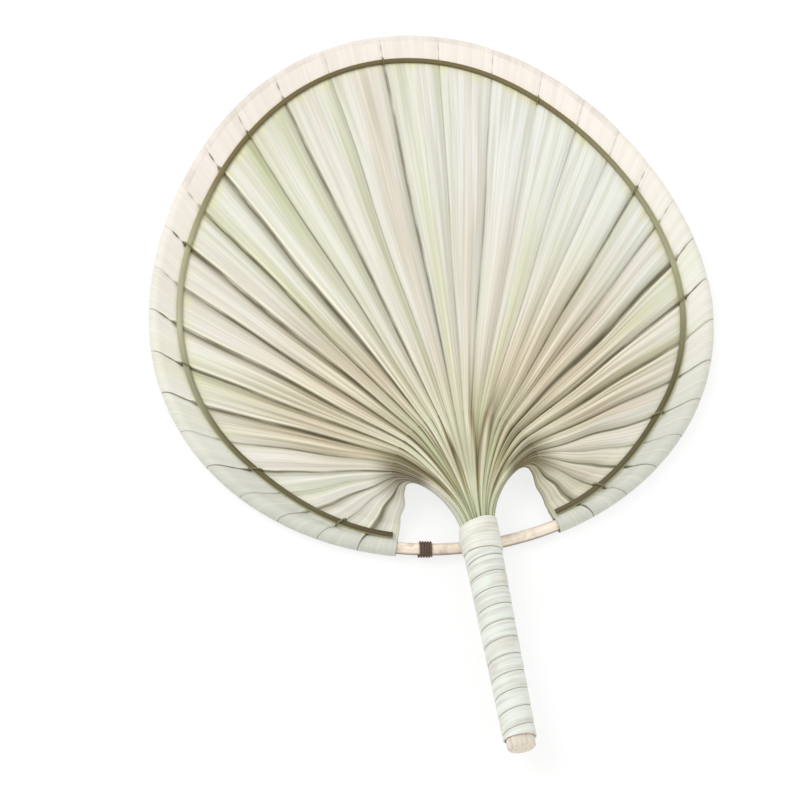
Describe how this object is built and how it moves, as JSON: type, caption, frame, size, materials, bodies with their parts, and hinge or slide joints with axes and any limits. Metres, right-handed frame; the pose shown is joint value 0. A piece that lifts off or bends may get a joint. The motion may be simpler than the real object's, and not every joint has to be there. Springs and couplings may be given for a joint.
{
  "type": "palm leaf fan",
  "caption": "Hand fan made of one pleated palm leaf folded round a bent cane hoop, clamped by thin splint rings, with a strip-wound stalk as its handle.",
  "frame": {"origin": "middle of the underside of the fan lying face up: below the centre of its bounding box, on the surface it lies on", "axes": "+Y from the butt of the handle along the handle's axis to the far rim, +Z out of the front face of the blade, +X to the right seen from the front with the handle towards the viewer"},
  "size_m": [0.267, 0.3918, 0.0232],
  "materials": {
    "leaf": "dried palm leaf, pale cream green, satin, with fine parallel veins",
    "leaf_base": "dried palm leaf, olive tan, bundled pleats",
    "hoop": "peeled cane, pinkish tan, smooth",
    "ring": "split cane, olive brown, smooth",
    "stalk": "dried leaf stalk, tan, sawn end",
    "strip": "flat palm leaf strip, pale cream green, wound",
    "collar": "broad palm leaf strip, whitish green, bound",
    "thread": "plain twisted thread, olive",
    "cord": "dark brown waxed cord"
  },
  "bodies": {
    "root": {"stalk": "stalk", "leaf_base": "leaf_base", "leaf_segment_01": "leaf", "leaf_segment_02": "leaf", "leaf_segment_03": "leaf", "leaf_segment_04": "leaf", "leaf_segment_05": "leaf", "leaf_segment_06": "leaf", "leaf_segment_07": "leaf", "leaf_segment_08": "leaf", "leaf_segment_09": "leaf", "leaf_segment_10": "leaf", "leaf_segment_11": "leaf", "leaf_segment_12": "leaf", "leaf_segment_13": "leaf", "leaf_segment_14": "leaf", "leaf_segment_15": "leaf", "leaf_segment_16": "leaf", "leaf_segment_17": "leaf", "leaf_segment_18": "leaf", "leaf_segment_19": "leaf", "leaf_segment_20": "leaf", "leaf_segment_21": "leaf", "leaf_segment_22": "leaf", "leaf_segment_23": "leaf", "leaf_segment_24": "leaf", "leaf_segment_25": "leaf", "leaf_segment_26": "leaf", "leaf_segment_27": "leaf", "leaf_segment_28": "leaf", "leaf_segment_29": "leaf", "leaf_segment_30": "leaf", "leaf_segment_31": "leaf", "leaf_segment_32": "leaf", "leaf_segment_33": "leaf", "leaf_segment_34": "leaf", "rim_hoop": "hoop", "front_ring": "ring", "back_ring": "ring", "ring_stitch_01": "thread", "ring_stitch_02": "thread", "ring_stitch_03": "thread", "ring_stitch_04": "thread", "ring_stitch_05": "thread", "ring_stitch_06": "thread", "ring_stitch_07": "thread", "ring_stitch_08": "thread", "ring_stitch_09": "thread", "ring_stitch_10": "thread", "ring_stitch_11": "thread", "handle_winding": "strip", "collar_binding": "collar", "hoop_binding": "cord"}
  },
  "joints": []
}
